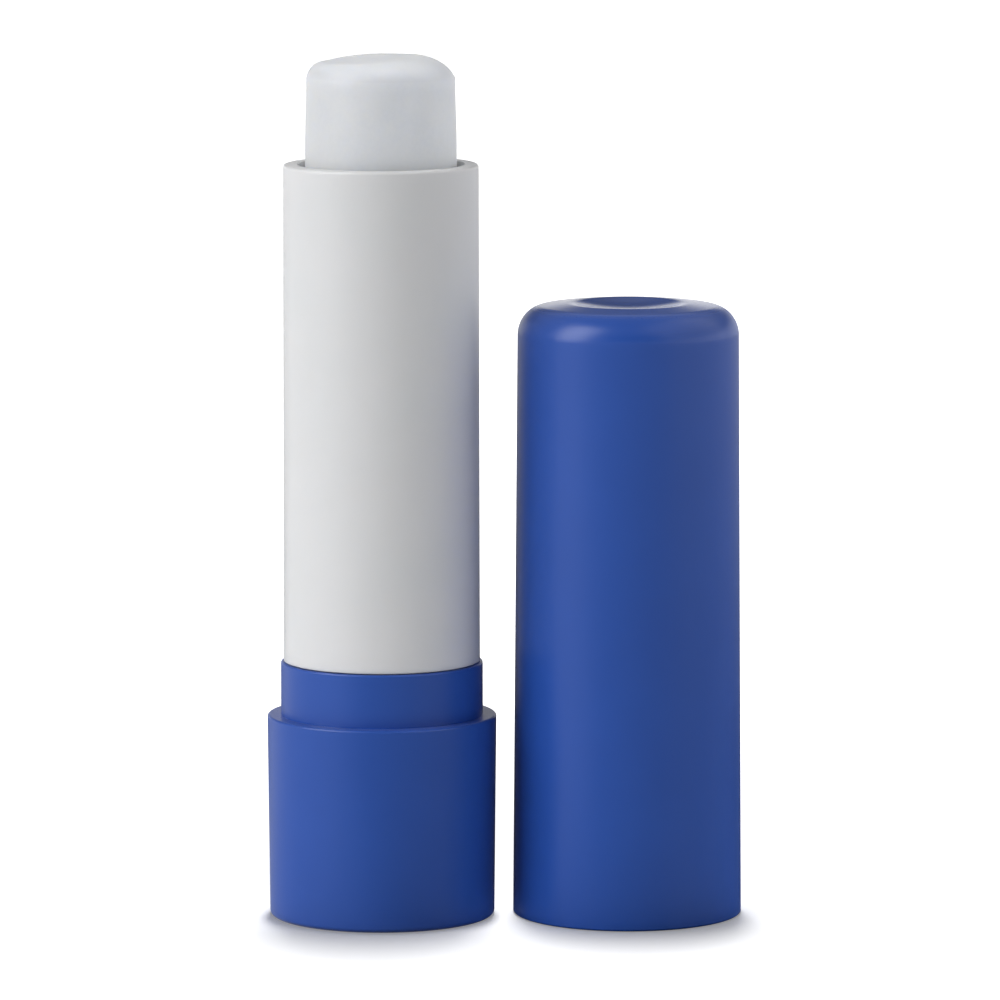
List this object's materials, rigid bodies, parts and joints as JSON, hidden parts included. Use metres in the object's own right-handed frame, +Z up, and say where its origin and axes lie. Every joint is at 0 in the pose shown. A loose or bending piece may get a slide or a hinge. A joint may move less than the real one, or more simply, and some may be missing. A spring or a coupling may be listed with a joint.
{
  "type": "lip balm stick",
  "caption": "Twist-up lip balm stick with a tapered handle, a white tube, a domed balm bullet and a pull-off cap that stands beside it.",
  "frame": {"origin": "centre of the handle's flat underside, on the surface that the stick stands on", "axes": "+Z up along the stick's axis, +X towards the cap that stands beside it, +Y to the back"},
  "size_m": [0.0399, 0.0202, 0.0727],
  "materials": {
    "blue_plastic": "satin moulded plastic",
    "white_plastic": "semi-gloss moulded plastic",
    "inner_plastic": "natural moulded plastic",
    "silicone": "soft satin",
    "balm": "smooth translucent wax"
  },
  "bodies": {
    "handle": {"base_shell": "blue_plastic", "collar": "blue_plastic", "guide_fork": "inner_plastic", "friction_ring": "silicone"},
    "tube": {"tube": "white_plastic"},
    "carrier": {"carrier_cup": "inner_plastic", "balm": "balm"},
    "cap": {"cap": "blue_plastic"}
  },
  "joints": [
    {"name": "tube_twist", "type": "hinge", "parent": "handle", "child": "tube", "pos_m": [0, 0, 0.0217], "axis": [0, 0, -1], "range_deg": [-180, 360]},
    {"name": "balm_travel", "type": "slide", "parent": "handle", "child": "carrier", "axis": [0, 0, 1], "range_m": [-0.01, 0.02]},
    {"name": "cap_lift", "type": "slide", "parent": "handle", "child": "cap", "axis": [0, 0, 1], "range_m": [0, 0.08]}
  ],
  "couplings": [
    {"joint": "tube_twist", "follows": "balm_travel", "rad_per_m": 314.16}
  ]
}
